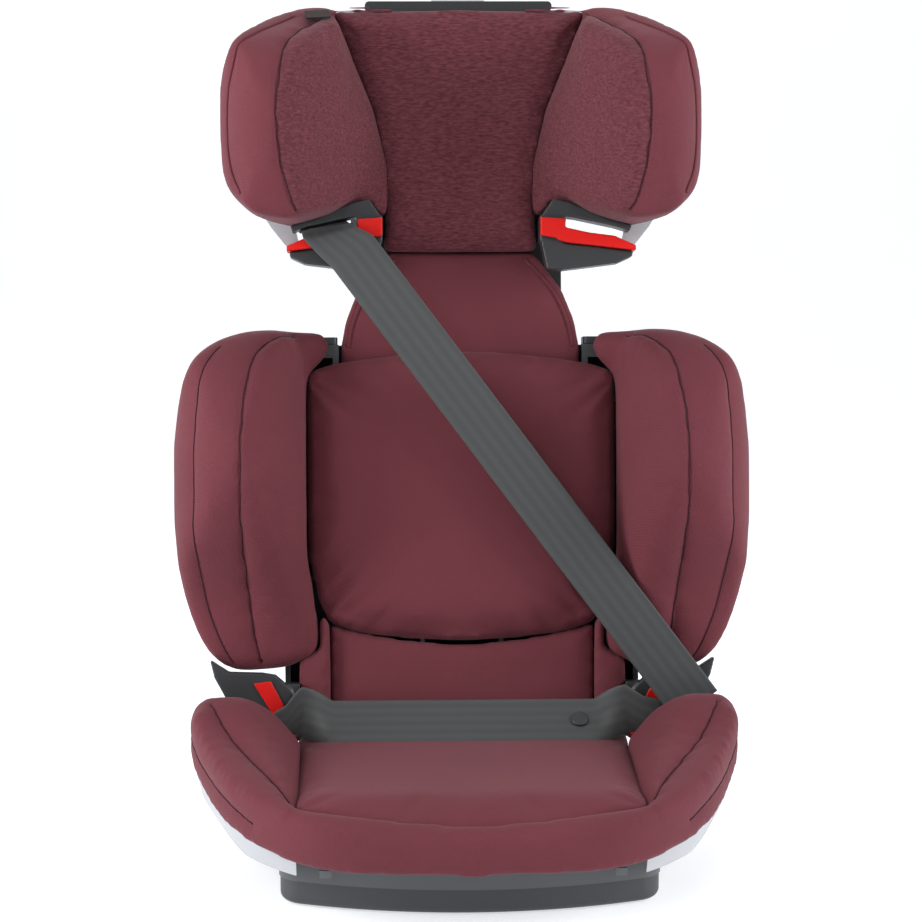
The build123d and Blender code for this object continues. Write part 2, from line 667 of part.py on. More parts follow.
def make_head_column():
    """Sliding frame that carries the headrest: two rails, two cross plates and a mast."""
    column = block(-COLUMN_HALF, COLUMN_HALF, COLUMN_FRONT, COLUMN_REAR, 150, 476)
    column -= block(-78, 78, COLUMN_FRONT - 1, COLUMN_REAR + 1, 216, 396)
    column += block(-56, 56, COLUMN_FRONT, COLUMN_REAR, 476, 640)
    column -= block(-26.3, 26.3, COLUMN_FRONT - 1, COLUMN_REAR + 1, 169.5, 180.5)
    for z in (500, 560):
        column -= block(-36, 36, COLUMN_FRONT - 1, COLUMN_REAR + 1, z, z + 40)
    for x in (-48, 48):
        column += block(x - 4, x + 4, COLUMN_REAR, -30, 520, 620)
    return leaned(fillet(column.edges().filter_by(Axis.Y), 1.5))


def make_belt_guide():
    """Dark guide under a headrest wing: upper arm, inner spine and lower jaw round the belt slot."""
    arm = [(71, 464), (83, 481), (100, 477), (130, 464), (154, 457), (152, 452), (139, 456), (104, 463.5), (94, 465)]
    jaw = [(71, 447), (94, 440.7), (125, 437.2), (155, 433.4), (154, 429), (141, 423), (92, 417), (77, 418)]
    guide = slab_xz(polygon(arm), -124, -96)
    guide += slab_xz(polygon(jaw), -124, -96)
    guide += block(71, 94, -124, -96, 443, 466)
    stem = slab_xy(polygon([(71, -97), (94, -97), (93.5, -58.4), (71, -58.4)]), 446, 464)
    return leaned(guide + stem)


def make_guide_lip():
    """Red lip that shows where the shoulder belt goes."""
    plate = slab_xz(polygon([(71, 464), (93.5, 462.5), (93.5, 444), (71, 447.5)]), -130, -124.4)
    bar = slab_xz(polygon([(86, 443.6), (94.6, 454.5), (115, 450), (138, 447), (150, 441.5), (157, 438.5), (157, 434),
                           (125, 437.7), (94.6, 441.2)]), -130, -124.4)
    bar += slab_xz(polygon([(94.6, 454.5), (115, 450), (138, 447), (150, 441.5), (157, 438.5), (157, 434),
                            (125, 437.7), (94.6, 441.2)]), -125, -98)
    return leaned(plate + bar)


def make_head_handle():
    """Bar on the crown that the headrest is raised by."""
    bar = block(-86, 86, -68, -52, 659, 668)
    bar = fillet(bar.edges().filter_by(Axis.Y), 4)
    post = block(62, 74, -66, -54, 646.2, 662)
    return leaned(bar + pair(post))


def make_head_lever():
    """Release lever behind the handle, with the long rod down to the lock bar."""
    lever = block(-26, 26, -50, -40, 648, 672)
    lever = fillet(lever.edges().filter_by(Axis.Y), 3)
    lever += block(-26, 26, -44, -40, 628, 652)
    lever += post_z(20, -42, 2, 184, 632)
    return leaned(lever)


def make_lever_spring():
    return leaned(Pos(-14, -42, 606) * coil(2.0, 0.7, 21, 8))


def make_lock_bar():
    bar = block(-24.5, 24.5, COLUMN_FRONT + 1, -45.2, 171, 179)
    return leaned(bar)


def make_head_tag():
    """Plain cloth tag sewn into the right crown seam."""
    return leaned(Pos(-128, -133, 645.5) * Rot(30, 0, 8) * Box(22, 17, 1.2))


def main():
    os.makedirs("parts", exist_ok=True)
    save("base_shell", make_base_shell())
    save("base_feet", make_base_feet())
    save("base_screws", make_screws(SCREW_PLACES, 3.0, 28.0))
    save("base_band", make_base_band())
    save_pair("side_trim", make_side_trim())
    save("seat_foam", make_seat_foam())
    save("seat_bolster", make_seat_bolster())
    save("seat_cushion", make_seat_cushion())
    save_pair("lap_guide", make_lap_guide())
    save("cushion_clips", make_cushion_clips())
    save("hinge_rod", pin_x(PIVOT_Y, PIVOT_Z, 4.0, -141, 141))
    save("lap_belt", make_lap_belt())
    save("belt_button", make_belt_button())
    save("belt_tongue", make_belt_tongue())

    save_pair("connector", make_connector())
    save("hook_pins", make_hook_pins())
    save("crossbar", make_crossbar())
    save_pair("latch_hook", make_hook())
    save_pair("release_button", make_button())
    save_pair("button_spring", make_button_spring())
    save("front_handle", make_front_handle())
    save("handle_springs", make_handle_springs())

    save("back_shell", make_back_shell())
    save("back_screws", make_back_screws())
    save("lock_rack", make_lock_rack())
    save("lumbar_pad", make_lumbar_pad())
    save("lower_pad", make_lower_pad())
    save_pair("hip_pad", make_hip_pad())
    save_pair("hip_bracket", make_hip_bracket())
    save_pair("hip_insert", make_hip_insert())
    save_pair("shoulder_cap", make_shoulder_cap())
    save("shoulder_belt", make_shoulder_belt())

    save_pair("wing_pad", make_wing_pad())
    save_pair("wing_shell", make_wing_shell())

    save("head_shell", make_head_shell())
    save("head_foam", make_head_foam())
    save("head_centre_pad", make_head_centre_pad())
    save_pair("head_pad", make_head_pad())
    save("neck_panel", make_neck_panel())
    save("head_column", make_head_column())
    save_pair("belt_guide", make_belt_guide())
    save_pair("guide_lip", make_guide_lip())
    save("head_handle", make_head_handle())
    save("head_lever", make_head_lever())
    save("lever_spring", make_lever_spring())
    save("lock_bar", make_lock_bar())
    save("head_tag", make_head_tag())
    print(len(written), "nodes")


main()
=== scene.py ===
"""High-back booster car seat: soft covers, webbing, seams, plastics, studio and camera."""

import json
import math

import bpy
import numpy as np
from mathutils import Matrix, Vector, noise
from mathutils.bvhtree import BVHTree
from mathutils.kdtree import KDTree


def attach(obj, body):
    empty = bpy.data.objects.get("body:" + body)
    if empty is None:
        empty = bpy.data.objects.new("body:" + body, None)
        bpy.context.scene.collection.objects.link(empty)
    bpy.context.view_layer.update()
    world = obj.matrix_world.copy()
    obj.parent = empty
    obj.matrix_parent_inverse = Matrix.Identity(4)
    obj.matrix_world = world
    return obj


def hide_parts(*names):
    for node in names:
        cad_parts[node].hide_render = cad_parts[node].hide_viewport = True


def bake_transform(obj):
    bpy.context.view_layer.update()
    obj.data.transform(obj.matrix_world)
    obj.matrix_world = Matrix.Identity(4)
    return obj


# ---------------------------------------------------------------- driving values
MM = 0.001
LEAN = math.radians(10.0)       # backrest's lean at rest
PIVOT_Y = 160.0                 # recline hinge, mm
PIVOT_Z = 80.0

CAMERA_TARGET = Vector((-0.004, 0.0, 0.357))
CAMERA_DISTANCE = 2.4
CAMERA_AZIMUTH = math.radians(-1.8)
CAMERA_ELEVATION = math.radians(10.0)
CAMERA_LENS = 107.7

VOXEL = 0.0045                  # remesh size of the covers
PIN_REACH = VOXEL * 0.8         # how close to a seam a cover is held
HIDDEN_FACING = 0.35            # a face turned this far to its shell can't be seen
GROWN_FACING = 0.6              # a face turned this far to its shell isn't grown
PRESSURE = 9.0                  # stuffing pressure of the covers
CLOTH_STIFFNESS = 12.0
CLOTH_BENDING = 0.6
CLOTH_MASS = 0.25
CLOTH_QUALITY = 4
FILL_FRAMES = 20                # steps of cloth simulation
SWELL_CAP = 0.007               # furthest the stuffing moves a cover

SEAM_DEPTH = 0.0042
SEAM_WIDTH = 0.0062
SEAM_REACH = 4 * SEAM_WIDTH     # beyond this a seam doesn't pull the cover
PUCKER = 0.35                   # share by which a seam's depth wanders
THREAD_RADIUS = 0.0007
THREAD_LIFT = 0.0001
PIPING_RADIUS = 0.0015
PIPING_LIFT = 0.0006
TUBE_SIDES = 8

WEB_WIDTH = 0.047
WEB_THICK = 0.0014
WEB_EDGE = 0.0006               # width of the webbing's bevelled edge
WEB_MARGIN = 0.002              # where the webbing's flat face begins
WEB_CELLS = 16                  # faces across the webbing's flat face
WEB_STEP = 0.004

STUDIO_AIM = (0.0, 0.0, 0.4)    # where the softboxes point
FLOOR_HALF_WIDTH = 600.0
FLOOR_REACH = 600.0             # how far the floor runs towards the viewer
COVE_START = 2.0
COVE_RADIUS = 1.5
WALL_TOP = 6.0

BURGUNDY = (0.118, 0.026, 0.035)
MELANGE_LIGHT = (0.135, 0.036, 0.046)
MELANGE_DARK = (0.058, 0.012, 0.017)
# seam thread colour, far darker than the cloth: partly real thread, partly painted shade for the seam's
# crease
THREAD_AND_CREASE_SHADE = (0.030, 0.007, 0.010)
SHEEN_TINT = (0.9, 0.62, 0.66, 1.0)


def leaned(x, y, z):
    """World point in metres of a point in the backrest's own frame in millimetres."""
    back = PIVOT_Y + y * math.cos(LEAN) + z * math.sin(LEAN)
    up = PIVOT_Z - y * math.sin(LEAN) + z * math.cos(LEAN)
    return Vector((x, back, up)) * MM


def upright(x, y, z):
    """World point in metres of a point in the base's frame in millimetres."""
    return Vector((x, y, z)) * MM


BACK_AXIS = Vector((0.0, math.cos(LEAN), -math.sin(LEAN)))
UP_AXIS = Vector((0.0, math.sin(LEAN), math.cos(LEAN)))

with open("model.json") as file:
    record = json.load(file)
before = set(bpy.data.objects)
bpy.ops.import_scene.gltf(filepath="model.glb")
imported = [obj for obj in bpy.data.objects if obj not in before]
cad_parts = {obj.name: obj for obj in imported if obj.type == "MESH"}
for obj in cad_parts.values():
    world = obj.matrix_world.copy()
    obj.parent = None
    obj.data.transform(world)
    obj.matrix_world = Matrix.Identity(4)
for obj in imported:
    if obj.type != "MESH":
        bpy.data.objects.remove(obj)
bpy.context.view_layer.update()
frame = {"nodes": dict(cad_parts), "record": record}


# ---------------------------------------------------------------- materials
class Shader:
    """A principled material under construction."""

    def __init__(self, name, colour, roughness, **constants):
        self.material = bpy.data.materials.new(name)
        self.material.use_nodes = True
        self.nodes = self.material.node_tree.nodes
        self.links = self.material.node_tree.links
        self.surface = self.nodes["Principled BSDF"]
        self.surface.inputs["Base Color"].default_value = (*colour, 1.0)
        self.surface.inputs["Roughness"].default_value = roughness
        for socket, value in constants.items():
            self.surface.inputs[socket.replace("_", " ")].default_value = value
        self.coordinates = self.nodes.new("ShaderNodeTexCoord")

    def link(self, source, target):
        self.links.new(source, target)

    def math(self, operation, first, second=None):
        node = self.nodes.new("ShaderNodeMath")
        node.operation = operation
        for socket, value in zip(node.inputs, (first, second)):
            if value is None:
                continue
            if isinstance(value, (int, float)):
                socket.default_value = value
            else:
                self.link(value, socket)
        return node.outputs[0]

    def ridges(self, direction, period, kind="Object"):
        """Sine ridges across a direction, one every period (metres, or UV units)."""
        dot = self.nodes.new("ShaderNodeVectorMath")
        dot.operation = "DOT_PRODUCT"
        self.link(self.coordinates.outputs[kind], dot.inputs[0])
        dot.inputs[1].default_value = Vector(direction).normalized() * (2 * math.pi / period)
        return self.math("SINE", dot.outputs["Value"])

    def grain(self, size, detail, stretch=(1.0, 1.0, 1.0)):
        """Noise with features of about that size, longer along an axis with a small stretch value."""
        mapping = self.nodes.new("ShaderNodeMapping")
        mapping.inputs["Scale"].default_value = Vector(stretch)
        self.link(self.coordinates.outputs["Object"], mapping.inputs["Vector"])
        texture = self.nodes.new("ShaderNodeTexNoise")
        texture.inputs["Scale"].default_value = 0.5 / size
        texture.inputs["Detail"].default_value = detail
        self.link(mapping.outputs[0], texture.inputs["Vector"])
        return texture.outputs[0]

    def ramp(self, factor, stops):
        node = self.nodes.new("ShaderNodeValToRGB")
        elements = node.color_ramp.elements
        while len(elements) < len(stops):
            elements.new(0.5)
        for element, (position, colour) in zip(elements, stops):
            element.position = position
            element.color = (*colour, 1.0)
        self.link(factor, node.inputs[0])
        return node.outputs[0]

    def paint(self, colour):
        self.link(colour, self.surface.inputs["Base Color"])

    def rough(self, factor, low, high):
        spread = self.math("MULTIPLY", factor, high - low)
        self.link(self.math("ADD", spread, low), self.surface.inputs["Roughness"])

    def bump(self, height, distance, strength):
        node = self.nodes.new("ShaderNodeBump")
        node.inputs["Strength"].default_value = strength
        node.inputs["Distance"].default_value = distance
        self.link(height, node.inputs["Height"])
        self.link(node.outputs[0], self.surface.inputs["Normal"])


def shade(colour, factor):
    """The colour made lighter or darker by a factor."""
    return tuple(channel * factor for channel in colour)


def twill(name, colour):
    """Fine diagonal weave with a soft sheen."""
    cloth = Shader(name, colour, 0.85, Sheen_Weight=0.12, Sheen_Roughness=0.4, Specular_IOR_Level=0.2)
    cloth.surface.inputs["Sheen Tint"].default_value = SHEEN_TINT
    diagonal = cloth.ridges((1.0, 0.85, 1.15), 0.0017)
    cross = cloth.ridges((-0.8, 0.9, 1.0), 0.0012)
    fuzz = cloth.grain(0.0009, 2.0)
    weave = cloth.math("ADD", cloth.math("MULTIPLY", diagonal, 0.20),
                       cloth.math("MULTIPLY", cross, 0.14))
    height = cloth.math("ADD", weave, cloth.math("MULTIPLY", fuzz, 0.9))
    cloud = cloth.grain(0.05, 2.0)
    tone = cloth.math("ADD", cloth.math("MULTIPLY", height, 0.28), cloth.math("MULTIPLY", cloud, 0.35))
    cloth.paint(cloth.ramp(tone, [(0.0, shade(colour, 0.70)), (0.32, colour),
                                  (0.75, shade(colour, 1.30))]))
    cloth.bump(height, 0.00035, 0.7)
    return cloth.material


def melange(name, light, dark):
    """Heathered knit: short sideways streaks of light and dark yarn."""
    cloth = Shader(name, light, 0.9, Sheen_Weight=0.10, Sheen_Roughness=0.45, Specular_IOR_Level=0.2)
    cloth.surface.inputs["Sheen Tint"].default_value = SHEEN_TINT
    streaks = cloth.grain(0.0009, 3.0, (0.28, 0.6, 1.0))
    flecks = cloth.grain(0.0008, 2.0, (0.35, 1.0, 1.0))
    rows = cloth.ridges((0.0, 0.35, 1.0), 0.0016)
    mix = cloth.math("ADD", cloth.math("MULTIPLY", streaks, 0.65), cloth.math("MULTIPLY", flecks, 0.35))
    middle = tuple((a + b) / 2 for a, b in zip(light, dark))
    cloth.paint(cloth.ramp(mix, [(0.30, dark), (0.50, middle), (0.66, light)]))
    height = cloth.math("ADD", mix, cloth.math("MULTIPLY", rows, 0.12))
    cloth.bump(height, 0.0006, 0.7)
    return cloth.material


def webbing(name):
    """Belt webbing: lengthwise bands of fine chevron weave, in UV millimetres."""
    web = Shader(name, (0.05, 0.054, 0.056), 0.55, Sheen_Weight=0.1, Specular_IOR_Level=0.4)
    bands = web.ridges((1.0, 0.0, 0.0), 9.4, "UV")
    rising = web.ridges((1.0, 1.0, 0.0), 1.5, "UV")
    falling = web.ridges((-1.0, 1.0, 0.0), 1.5, "UV")
    weave = web.math("MULTIPLY", web.math("ADD", rising, falling), 0.3)
    height = web.math("ADD", web.math("MULTIPLY", bands, 0.5), weave)
    tone = web.math("ADD", web.math("MULTIPLY", height, 0.35), 0.5)
    web.paint(web.ramp(tone, [(0.1, (0.030, 0.032, 0.033)), (0.55, (0.038, 0.041, 0.042)),
                              (0.9, (0.048, 0.052, 0.053))]))
    web.bump(height, 0.00012, 0.6)
    return web.material


def plastic(name, colour, roughness, texture=0.00012, gloss=0.5):
    """Moulded plastic with a fine spark-eroded grain and slight wear in its gloss."""
    moulded = Shader(name, colour, roughness, Specular_IOR_Level=gloss)
    grain = moulded.grain(0.0007, 3.0)
    cloud = moulded.grain(0.03, 3.0)
    moulded.paint(moulded.ramp(cloud, [(0.25, shade(colour, 0.97)), (0.75, shade(colour, 1.03))]))
    moulded.rough(cloud, roughness - 0.03, roughness + 0.03)
    moulded.bump(grain, texture, 0.6)
    return moulded.material


def steel(name):
    """Zinc plated steel with a drawn grain."""
    metal = Shader(name, (0.55, 0.55, 0.57), 0.35, Metallic=1.0)
    lines = metal.grain(0.0006, 2.0, (0.1, 1.0, 1.0))
    metal.rough(lines, 0.25, 0.5)
    metal.bump(lines, 0.00005, 0.5)
    return metal.material


def beads(name):
    """Moulded bead foam: rounded cells with dark joints."""
    foam = Shader(name, (0.06, 0.06, 0.065), 0.9)
    cells = foam.nodes.new("ShaderNodeTexVoronoi")
    cells.inputs["Scale"].default_value = 260.0
    foam.link(foam.coordinates.outputs["Object"], cells.inputs["Vector"])
    foam.paint(foam.ramp(cells.outputs["Distance"], [(0.0, (0.085, 0.085, 0.09)),
                                                     (0.6, (0.03, 0.03, 0.032))]))
    foam.bump(foam.math("MULTIPLY", cells.outputs["Distance"], -1.0), 0.0008, 0.8)
    return foam.material


MATERIALS = {
    "burgundy_fabric": twill("burgundy_twill", BURGUNDY),
    "burgundy_melange": melange("burgundy_melange", MELANGE_LIGHT, MELANGE_DARK),
    "black_plastic": plastic("black_plastic", (0.018, 0.019, 0.021), 0.45),
    "dark_grey_plastic": plastic("dark_grey_plastic", (0.035, 0.037, 0.040), 0.5),
    "grey_plastic": plastic("grey_plastic", (0.075, 0.08, 0.085), 0.42),
    "light_grey_plastic": plastic("light_grey_plastic", (0.40, 0.412, 0.432), 0.42),
    "red_plastic": plastic("red_plastic", (0.50, 0.008, 0.006), 0.42, 0.00005, gloss=0.2),
    "steel": steel("zinc_steel"),
    "belt_webbing": webbing("belt_webbing"),
    "foam_core": beads("bead_foam"),
    "rubber_pad": plastic("soft_rubber", (0.03, 0.03, 0.03), 0.8),
    "black_tag": twill("black_tape", (0.012, 0.012, 0.013)),
}
# real stitching, but dark enough to paint the shade of the seam's crease
SEAM_THREAD_AND_CREASE_SHADE = twill("seam_thread_and_crease_shade", THREAD_AND_CREASE_SHADE)

slot_of = {part["node"]: part["material_slot"] for part in frame["record"]["subparts"]}
for node_name, node in frame["nodes"].items():
    node.data.materials.clear()
    node.data.materials.append(MATERIALS[slot_of[node_name]])
body_of_node = {
    name: body for body, names in frame["record"]["behaviour"]["bodies"].items() for name in names
}


# ---------------------------------------------------------------- mesh helpers
def new_object(name, mesh):
    obj = bpy.data.objects.new(name, mesh)
    bpy.context.scene.collection.objects.link(obj)
    return obj


def apply_modifiers(obj):
    depsgraph = bpy.context.evaluated_depsgraph_get()
    mesh = bpy.data.meshes.new_from_object(obj.evaluated_get(depsgraph))
    obj.modifiers.clear()
    obj.data = mesh


def positions(obj):
    flat = np.empty(len(obj.data.vertices) * 3, np.float32)
    obj.data.vertices.foreach_get("co", flat)
    return flat.reshape(-1, 3).astype(float)


def normals(obj):
    flat = np.empty(len(obj.data.vertices) * 3, np.float32)
    obj.data.vertex_normals.foreach_get("vector", flat)
    return flat.reshape(-1, 3).astype(float)


def move_to(obj, points):
    obj.data.vertices.foreach_set("co", points.astype(np.float32).ravel())
    obj.data.update()


def smooth_shaded(obj):
    obj.data.polygons.foreach_set("use_smooth", [True] * len(obj.data.polygons))


def remeshed(name, node, voxel, smoothing):
    """Copy of a CAD node's mesh as one even skin with softened edges."""
    obj = new_object(name, frame["nodes"][node].data.copy())
    skin = obj.modifiers.new("skin", "REMESH")
    skin.mode = "VOXEL"
    skin.voxel_size = voxel
    ease = obj.modifiers.new("ease", "SMOOTH")
    ease.factor = 0.5
    ease.iterations = smoothing
    apply_modifiers(obj)
    return obj


def curve_through(points, step):
    """Points a step apart on a smooth curve through the given ones."""
    padded = [points[0] * 2 - points[1], *points, points[-1] * 2 - points[-2]]
    out = []
    for before, a, b, after in zip(padded, padded[1:], padded[2:], padded[3:]):
        count = max(2, int((b - a).length / step))
        for i in range(count):
            t = i / count
            out.append(0.5 * (2 * a + (b - before) * t + (2 * before - 5 * a + 4 * b - after) * t ** 2
                              + (3 * a - before - 3 * b + after) * t ** 3))
    return out + [points[-1]]


def surface_of(obj):
    depsgraph = bpy.context.evaluated_depsgraph_get()
    return BVHTree.FromObject(obj, depsgraph)


def drawn_on(obj, points, step=0.002):
    """A smooth line through the points, laid on the object's nearest surface, as (point, normal)."""
    surface = surface_of(obj)
    places = curve_through(points, step)
    for _ in range(12):
        places = [surface.find_nearest(place)[0] for place in places]
        middle = [(a + 2 * b + c) / 4 for a, b, c in zip(places, places[1:], places[2:])]
        places = [places[0], *middle, places[-1]]
    return [surface.find_nearest(place)[:2] for place in places]


def seen_from_front(obj, points):
    """Points on the object's front surface at the given (x, z) of the backrest's frame."""
    surface = surface_of(obj)
    found = []
    for x, z in points:
        place, _, _, _ = surface.ray_cast(leaned(x, -400.0, z), BACK_AXIS)
        if place is None:
            place, _, _, _ = surface.find_nearest(leaned(x, -120.0, z))
        found.append(place)
    return found


def tree_of(line):
    """Search tree over the points of a line of (point, normal)."""
    tree = KDTree(len(line))
    for i, (place, _) in enumerate(line):
        tree.insert(place, i)
    tree.balance()
    return tree


def tube(name, line, radius, material, lift):
    """A thin closed tube along a line of (point, normal)."""
    sides = TUBE_SIDES
    centres = [place + normal * lift for place, normal in line]
    vertices = []
    for i, centre in enumerate(centres):
        ahead = centres[min(i + 1, len(centres) - 1)]
        behind = centres[max(i - 1, 0)]
        along = (ahead - behind).normalized()
        across = along.cross(line[i][1]).normalized()
        out = across.cross(along)
        for k in range(sides):
            turn = 2 * math.pi * k / sides
            vertices.append(centre + (across * math.cos(turn) + out * math.sin(turn)) * radius)
    faces = [list(range(sides))[::-1]]
    for i in range(len(centres) - 1):
        for k in range(sides):
            a = i * sides + k
            b = i * sides + (k + 1) % sides
            faces.append([a, b, b + sides, a + sides])
    last = (len(centres) - 1) * sides
    faces.append([last + k for k in range(sides)])
    mesh = bpy.data.meshes.new(name)
    mesh.from_pydata([tuple(v) for v in vertices], [], faces)
    obj = new_object(name, mesh)
    smooth_shaded(obj)
    obj.data.materials.append(material)
    return obj


# ---------------------------------------------------------------- covers
def flipped(points, side):
    return [(side * point[0], *point[1:]) for point in points]


# Seam lines in millimetres: (x, z) as seen from the front, or (x, y, z) on the seat.
WING_RIDGE = [(150, 361), (174, 354), (186, 338), (193, 303), (196, 265), (198, 230), (198, 190),
              (196, 157), (192, 115), (188, 83), (183, 62)]
WING_OUTER = [(216, 349), (231, 326), (237, 290), (240, 250), (240, 210), (238, 165), (230, 115),
              (218, 80), (209, 63)]
HEAD_RIDGE = [(112, 650), (139, 634), (155, 614), (161, 583), (163, 550), (159, 503), (152, 472),
              (146, 462)]
HEAD_PIPING = [(150, 645), (184, 622), (200, 600), (207, 570), (208, 535), (204, 500), (196, 480)]
ARM_SEAM = [(225, 2, 142), (211, -30, 128), (189, -75, 114), (172, -112, 109), (151, -158, 99)]
ARM_CREASE = [(241, 12, 108), (238, -20, 101), (226, -57, 94), (204, -119, 87), (182, -155, 79)]
NECK_EDGE = [(60, 430), (76, 413), (88, 397), (99, 371), (103, 350)]


class Cover:
    """A padded piece made from a CAD node: pinned along its seams, then filled."""

    def __init__(self, node, fill=0.6, cap=SWELL_CAP, voxel=VOXEL, smoothing=5, grow=0.0008):
        self.node = node
        self.fill = fill
        self.cap = cap
        self.obj = remeshed(node + "_cover", node, voxel, smoothing)
        out = normals(self.obj)
        to_shell = out @ np.array(BACK_AXIS)
        toward_front = np.clip((GROWN_FACING - to_shell) / GROWN_FACING, 0.0, 1.0)
        move_to(self.obj, positions(self.obj) + out * toward_front[:, None] * grow)
        self.side = -1 if node.endswith("_right") else 1
        self.seams = []

    def add_seam(self, points, kind, depth=SEAM_DEPTH):
        """points are (x, z) seen from the front, or (x, y, z) in the base's frame."""
        points = flipped(points, self.side)
        if len(points[0]) == 2:
            anchors = seen_from_front(self.obj, points)
        else:
            anchors = [upright(*point) for point in points]
        self.seams.append((anchors, kind, depth))

    def pin_and_fill(self, hidden):
        """Start the cloth: seams and the hidden side stay, the rest swells."""
        points = positions(self.obj)
        held = set(np.nonzero(hidden(points, normals(self.obj)))[0].tolist())
        for anchors, _, _ in self.seams:
            tree = tree_of(drawn_on(self.obj, anchors, 0.003))
            held |= {i for i, point in enumerate(points) if tree.find(point)[2] < PIN_REACH}
        group = self.obj.vertex_groups.new(name="held")
        group.add(sorted(held), 1.0, "REPLACE")
        self.start = points
        cloth = self.obj.modifiers.new("filling", "CLOTH")
        cloth.settings.quality = CLOTH_QUALITY
        cloth.settings.mass = CLOTH_MASS
        cloth.settings.tension_stiffness = CLOTH_STIFFNESS
        cloth.settings.compression_stiffness = CLOTH_STIFFNESS
        cloth.settings.bending_stiffness = CLOTH_BENDING
        cloth.settings.vertex_group_mass = "held"
        cloth.settings.use_pressure = True
        cloth.settings.uniform_pressure_force = PRESSURE
        cloth.settings.effector_weights.gravity = 0.0
        cloth.point_cache.frame_start = 1
        cloth.point_cache.frame_end = FILL_FRAMES

    def settle(self):
        """Take the filled shape, within the cap, and subdivide it once."""
        apply_modifiers(self.obj)
        moved = positions(self.obj) - self.start
        length = np.linalg.norm(moved, axis=1, keepdims=True)
        soft = self.cap * np.tanh(length / self.cap)
        moved *= soft / np.maximum(length, 1e-9)
        move_to(self.obj, self.start + moved)
        finer = self.obj.modifiers.new("finer", "SUBSURF")
        finer.levels = 1
        finer.render_levels = 1
        apply_modifiers(self.obj)

    def sew(self):
        """Press the seams in and lay their thread or piping; the thread is far darker than the cloth,
        partly as painted shade in the seam's crease.
        """
        for number, (anchors, kind, depth) in enumerate(self.seams, 1):
            line = drawn_on(self.obj, anchors)
            tree = tree_of(line)
            points = positions(self.obj)
            out = normals(self.obj)
            for i, point in enumerate(points):
                _, at, distance = tree.find(point)
                if distance < SEAM_REACH:
                    pucker = 1.0 + PUCKER * noise.noise(Vector((at * 0.16, number * 7.3, 0.0)))
                    points[i] -= out[i] * depth * pucker * math.exp(-distance / SEAM_WIDTH)
            move_to(self.obj, points)
            line = drawn_on(self.obj, [place for place, _ in line][::3] + [line[-1][0]])
            name = f"{self.node}_{kind}_{number}"
            if kind == "piping":
                trim = tube(name, line, PIPING_RADIUS, self.material, PIPING_LIFT)
            else:
                # dark thread along the seam line: painted shade of the crease as well as the stitching
                trim = tube(name, line, THREAD_RADIUS, SEAM_THREAD_AND_CREASE_SHADE, THREAD_LIFT)
            trim.parent = self.obj

    def finish(self, material):
        """Give the cover its material and seams and put it in the CAD piece's place."""
        self.material = material
        self.obj.data.materials.clear()
        self.obj.data.materials.append(material)
        smooth_shaded(self.obj)
        self.sew()
        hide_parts(self.node)
        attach(self.obj, body_of_node[self.node])


def against_shell(points, out):
    """The side of a backrest or headrest piece that lies on its shell."""
    return out @ np.array(BACK_AXIS) > HIDDEN_FACING


def under_seat(points, out):
    """The seat's underside, and the recess that the centre panel sits in."""
    below = out[:, 2] < -0.5
    recess = (abs(points[:, 0]) < 0.150) & (points[:, 1] > -0.168)
    return below | recess | (points[:, 2] < 0.058)


def under_panel(points, out):
    return out[:, 2] < 0.2


covers = {}
for node_name, hidden, settings in (
    ("seat_bolster", under_seat, dict(fill=0.6, smoothing=9, grow=0.0015)),
    ("seat_cushion", under_panel, dict(fill=0.45, cap=0.004, grow=0.0012)),
    ("lumbar_pad", against_shell, dict(fill=0.6, cap=0.009, smoothing=7, grow=0.0012)),
    ("lower_pad", against_shell, dict(fill=0.4, cap=0.003, voxel=0.0035, smoothing=3, grow=0.0012)),
    ("hip_pad_left", against_shell, dict(fill=0.5, cap=0.003, voxel=0.0035, smoothing=3, grow=0.001)),
    ("hip_pad_right", against_shell, dict(fill=0.5, cap=0.003, voxel=0.0035, smoothing=3, grow=0.001)),
    ("wing_pad_left", against_shell, dict(fill=0.65, smoothing=26, grow=0.0032)),
    ("wing_pad_right", against_shell, dict(fill=0.65, smoothing=26, grow=0.0032)),
    ("head_centre_pad", against_shell, dict(fill=0.5, cap=0.004, smoothing=3, grow=0.0014)),
    ("head_pad_left", against_shell, dict(fill=0.65, voxel=0.003, smoothing=18, grow=0.002)),
    ("head_pad_right", against_shell, dict(fill=0.65, voxel=0.003, smoothing=18, grow=0.002)),
    ("neck_panel", against_shell, dict(fill=0.3, cap=0.003, voxel=0.0035, smoothing=3)),
):
    cover = Cover(node_name, **settings)
    if node_name.startswith("wing_pad"):
        cover.add_seam(WING_RIDGE, "seam")
        cover.add_seam(WING_OUTER, "seam", 0.0018)
    if node_name.startswith("head_pad"):
        cover.add_seam(HEAD_RIDGE, "seam")
        cover.add_seam(HEAD_PIPING, "piping", 0.0012)
    if node_name == "neck_panel":
        for side in (1, -1):
            cover.add_seam(flipped(NECK_EDGE, side), "piping", 0.0015)
    if node_name == "seat_bolster":
        for side in (1, -1):
            cover.add_seam(flipped(ARM_SEAM, side), "seam")
            cover.add_seam(flipped(ARM_CREASE, side), "seam", 0.002)
    cover.pin_and_fill(hidden)
    covers[node_name] = cover

scene = bpy.context.scene
scene.frame_start = 1
scene.frame_end = FILL_FRAMES
for step in range(1, FILL_FRAMES + 1):
    scene.frame_set(step)

for cover in covers.values():
    cover.settle()


def x_at(line, height):
    """The seam's x at a height, both in the backrest's frame."""
    heights = [z for _, z in line][::-1]
    return np.interp(height, heights, [x for x, _ in line][::-1])


for node_name, cover in covers.items():
    cover.finish(MATERIALS[slot_of[node_name]])
    if node_name.startswith("head_pad"):
        mesh = cover.obj.data
        mesh.materials.append(MATERIALS["burgundy_melange"])
        for face in mesh.polygons:
            offset = face.center - upright(0, PIVOT_Y, PIVOT_Z)
            if abs(face.center.x) / MM < x_at(HEAD_RIDGE, offset.dot(UP_AXIS) / MM):
                face.material_index = 1


